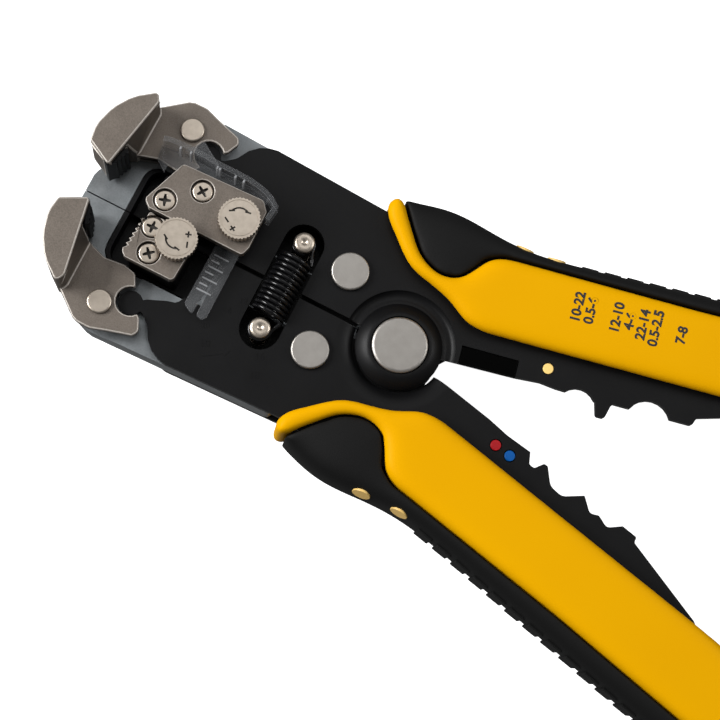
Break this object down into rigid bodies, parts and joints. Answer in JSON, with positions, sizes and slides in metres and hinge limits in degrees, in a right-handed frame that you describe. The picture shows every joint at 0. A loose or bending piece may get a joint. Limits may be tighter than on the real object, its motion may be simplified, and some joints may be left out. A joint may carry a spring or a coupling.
{
  "type": "wire stripper",
  "caption": "self-adjusting wire stripper with two sprung handles, pivoting grip jaws, sliding blades with adjusting knobs, a sliding wire stop, a cutter and crimping dies",
  "frame": {"origin": "centre of the tool's length and width, on the surface that it lies on", "axes": "+X from the jaws towards the handles, +Y towards the upper arm, +Z out of the front face"},
  "size_m": [0.2037, 0.1128, 0.0267],
  "materials": {
    "black_paint": "satin",
    "cast_zinc": "as cast",
    "sintered_steel": "sintered, matt",
    "nickel": "plated",
    "rivet_steel": "brushed",
    "yellow_plastic": "satin",
    "soft_black": "matt",
    "clear_plastic": "clear",
    "red_paint": "gloss",
    "blue_paint": "gloss"
  },
  "bodies": {
    "frame": {"upper_frame_casting": "cast_zinc", "upper_grip_pin": "nickel", "lower_frame_casting": "cast_zinc", "lower_grip_pin": "nickel", "main_pivot_rivet": "rivet_steel", "tension_spring": "black_paint"},
    "upper_arm": {"upper_front_plate": "black_paint", "upper_back_plate": "black_paint", "upper_arm_core": "black_paint", "upper_arm_rivet": "rivet_steel", "upper_spring_post": "nickel", "upper_handle_shell": "yellow_plastic", "upper_handle_pad": "soft_black", "upper_pad_insert_front": "yellow_plastic", "upper_pad_insert_rear": "yellow_plastic", "cutter_blade": "black_paint", "yellow_crimp_mark": "yellow_plastic"},
    "upper_grip": {"upper_grip_jaw": "sintered_steel", "upper_grip_insert": "black_paint"},
    "upper_carrier": {"upper_carrier_block": "black_paint", "upper_blade_plate": "sintered_steel", "upper_front_screw": "nickel", "upper_rear_screw": "nickel"},
    "upper_knob": {"upper_tension_knob": "nickel"},
    "lower_arm": {"lower_front_plate": "black_paint", "lower_back_plate": "black_paint", "lower_arm_core": "black_paint", "lower_arm_rivet": "rivet_steel", "lower_spring_post": "nickel", "lower_handle_shell": "yellow_plastic", "lower_handle_pad": "soft_black", "lower_pad_insert_front": "yellow_plastic", "lower_pad_insert_rear": "yellow_plastic", "red_crimp_mark": "red_paint", "blue_crimp_mark": "blue_paint"},
    "lower_grip": {"lower_grip_jaw": "sintered_steel", "lower_grip_insert": "black_paint"},
    "lower_carrier": {"lower_carrier_block": "black_paint", "lower_blade_plate": "sintered_steel", "lower_front_screw": "nickel", "lower_rear_screw": "nickel"},
    "lower_knob": {"lower_tension_knob": "nickel"},
    "wire_stop": {"wire_stop": "clear_plastic"}
  },
  "joints": [
    {"name": "upper_arm_pivot", "type": "hinge", "parent": "frame", "child": "upper_arm", "pos_m": [-0.02521, 0, 0.01], "axis": [0, 0, -1], "range_deg": [0, 11], "stiffness_Nm_per_rad": 6, "springref_deg": -6.88, "deforming": ["tension_spring"]},
    {"name": "lower_arm_pivot", "type": "hinge", "parent": "frame", "child": "lower_arm", "pos_m": [-0.02521, 0, 0.01], "axis": [0, 0, 1], "range_deg": [0, 11.2]},
    {"name": "upper_grip_pivot", "type": "hinge", "parent": "frame", "child": "upper_grip", "pos_m": [-0.08511, 0.0209, 0.015], "axis": [0, 0, 1], "range_deg": [0, 30.8]},
    {"name": "lower_grip_pivot", "type": "hinge", "parent": "frame", "child": "lower_grip", "pos_m": [-0.08511, -0.0209, 0.015], "axis": [0, 0, -1], "range_deg": [0, 30.8]},
    {"name": "upper_carrier_slide", "type": "slide", "parent": "frame", "child": "upper_carrier", "axis": [1, 0, 0], "range_m": [0, 0.0051]},
    {"name": "lower_carrier_slide", "type": "slide", "parent": "frame", "child": "lower_carrier", "axis": [1, 0, 0], "range_m": [0, 0.0051]},
    {"name": "wire_stop_slide", "type": "slide", "parent": "upper_carrier", "child": "wire_stop", "axis": [1, 0, 0], "range_m": [0, 0.002]},
    {"name": "upper_knob_turn", "type": "hinge", "parent": "upper_carrier", "child": "upper_knob", "pos_m": [-0.06691, 0.0069, 0.022], "axis": [0, 0, 1], "continuous": true},
    {"name": "lower_knob_turn", "type": "hinge", "parent": "lower_carrier", "child": "lower_knob", "pos_m": [-0.07641, -0.0029, 0.022], "axis": [0, 0, 1], "continuous": true}
  ],
  "couplings": [
    {"joint": "lower_arm_pivot", "follows": "upper_arm_pivot", "ratio": 1},
    {"joint": "upper_grip_pivot", "follows": "upper_arm_pivot", "ratio": 2.77},
    {"joint": "lower_grip_pivot", "follows": "upper_arm_pivot", "ratio": 2.77},
    {"joint": "upper_carrier_slide", "follows": "upper_arm_pivot", "m_per_rad": 0.02604},
    {"joint": "lower_carrier_slide", "follows": "upper_arm_pivot", "m_per_rad": 0.02604}
  ]
}
